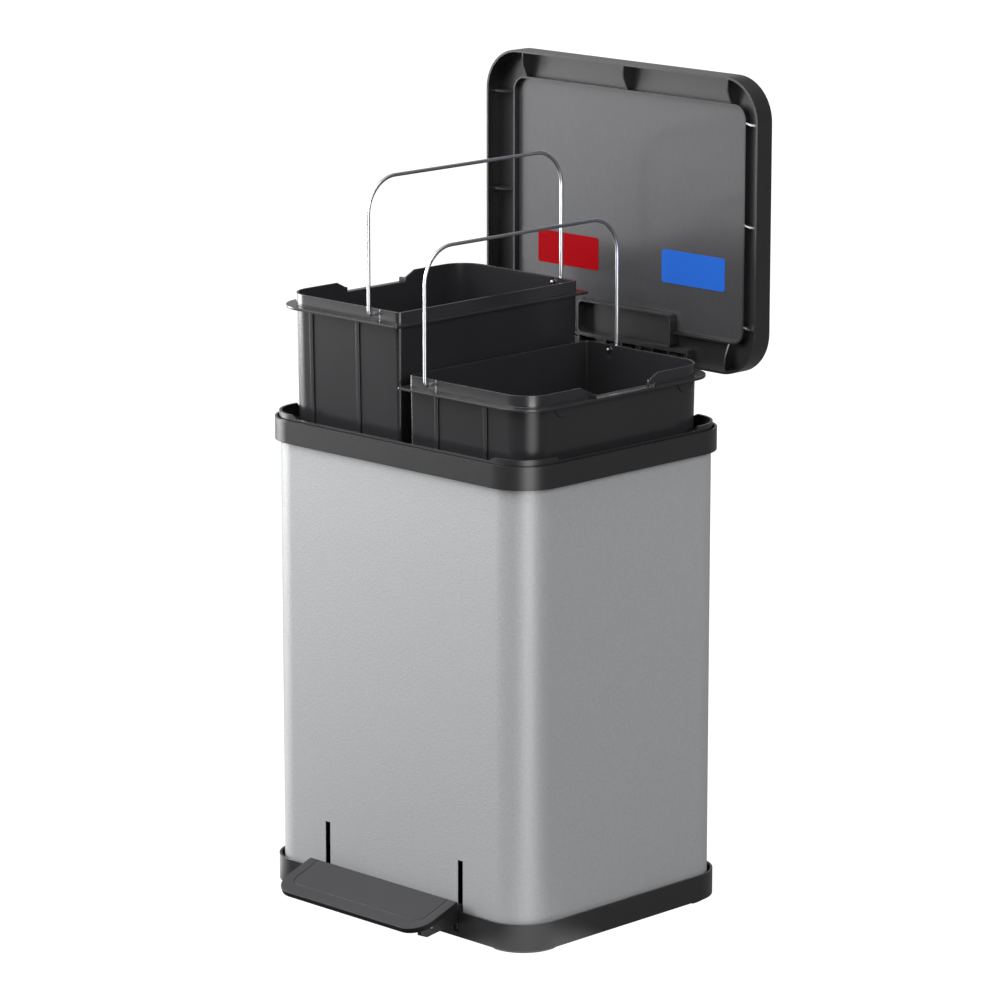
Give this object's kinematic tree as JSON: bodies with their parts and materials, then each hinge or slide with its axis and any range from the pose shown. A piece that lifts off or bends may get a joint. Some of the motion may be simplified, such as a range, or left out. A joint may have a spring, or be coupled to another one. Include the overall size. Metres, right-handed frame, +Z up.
{
  "type": "double recycling bin",
  "caption": "Pedal-opened recycling bin for two sorted streams, with a sheet casing, a deep hinged lid and lift-out inner buckets with wire handles.",
  "frame": {"origin": "middle of the whole part's outline on the floor, as it stands with its lid open and its pedal down", "axes": "+X to the right across the front, +Y from the pedal side to the hinge side, +Z up"},
  "size_m": [0.392, 0.4294, 0.8636],
  "materials": {
    "sheet_paint": "hammered silver-grey paint",
    "frame_plastic": "satin moulded plastic",
    "foot_plastic": "matte moulded plastic",
    "tread_plastic": "matte moulded plastic",
    "bucket_plastic": "satin moulded plastic",
    "block_plastic": "satin moulded plastic",
    "panel_metal": "satin grey sheet",
    "strip_film": "clear film",
    "red_label": "glossy red",
    "blue_label": "glossy blue",
    "lever_steel": "zinc plated",
    "pin_steel": "ground steel",
    "screw_steel": "zinc plated",
    "wire_chrome": "bright plated wire"
  },
  "bodies": {
    "root": {"body_shell": "sheet_paint", "base_tray": "frame_plastic", "corner_feet": "foot_plastic", "base_screws": "screw_steel", "top_frame": "frame_plastic", "hinge_bracket": "frame_plastic", "bracket_screws": "screw_steel", "hinge_pin": "pin_steel", "hinge_pin_caps": "foot_plastic", "rod_guide_upper": "frame_plastic", "rod_guide_lower": "frame_plastic", "rod_guide_screws": "screw_steel", "pedal_axle": "pin_steel", "axle_clips": "screw_steel"},
    "pedal": {"pedal_tread": "tread_plastic", "pedal_arm_left": "lever_steel", "pedal_arm_right": "lever_steel", "pedal_crossbar": "lever_steel", "pedal_tongue": "lever_steel", "tread_screws": "screw_steel", "lever_pin": "pin_steel"},
    "push_rod": {"push_rod": "lever_steel"},
    "lid": {"lid_shell": "frame_plastic", "lid_panel": "panel_metal", "label_strip": "strip_film", "label_red": "red_label", "label_blue": "blue_label", "lid_hinge_block": "block_plastic", "lid_screws": "screw_steel", "crank_pin": "pin_steel"},
    "bucket_left": {"bucket_left": "bucket_plastic"},
    "bucket_right": {"bucket_right": "bucket_plastic"},
    "bail_left": {"bail_left": "wire_chrome"},
    "bail_right": {"bail_right": "wire_chrome"}
  },
  "joints": [
    {"name": "lid_hinge", "type": "hinge", "parent": "root", "child": "lid", "pos_m": [0, 0.19942, 0.5155], "axis": [1, 0, 0], "range_deg": [0, 6]},
    {"name": "pedal_pivot", "type": "hinge", "parent": "root", "child": "pedal", "pos_m": [0, 0.05604, 0.03], "axis": [1, 0, 0], "range_deg": [-12.8, 0]},
    {"name": "rod_slide", "type": "slide", "parent": "root", "child": "push_rod", "axis": [0, 0, 1], "range_m": [-0.0284, 0]},
    {"name": "bucket_left_lift", "type": "slide", "parent": "root", "child": "bucket_left", "axis": [0, 0, 1], "range_m": [-0.1233, 0.285]},
    {"name": "bucket_right_lift", "type": "slide", "parent": "root", "child": "bucket_right", "axis": [0, 0, 1], "range_m": [-0.0612, 0.345]},
    {"name": "bail_left_pivot", "type": "hinge", "parent": "bucket_left", "child": "bail_left", "pos_m": [-0.0408, 0.00732, 0.6326], "axis": [0, 1, 0], "range_deg": [-90, 0]},
    {"name": "bail_right_pivot", "type": "hinge", "parent": "bucket_right", "child": "bail_right", "pos_m": [0.0408, 0.00732, 0.5705], "axis": [0, 1, 0], "range_deg": [0, 90]}
  ],
  "couplings": [
    {"joint": "rod_slide", "follows": "pedal_pivot", "m_per_rad": 0.1267}
  ]
}
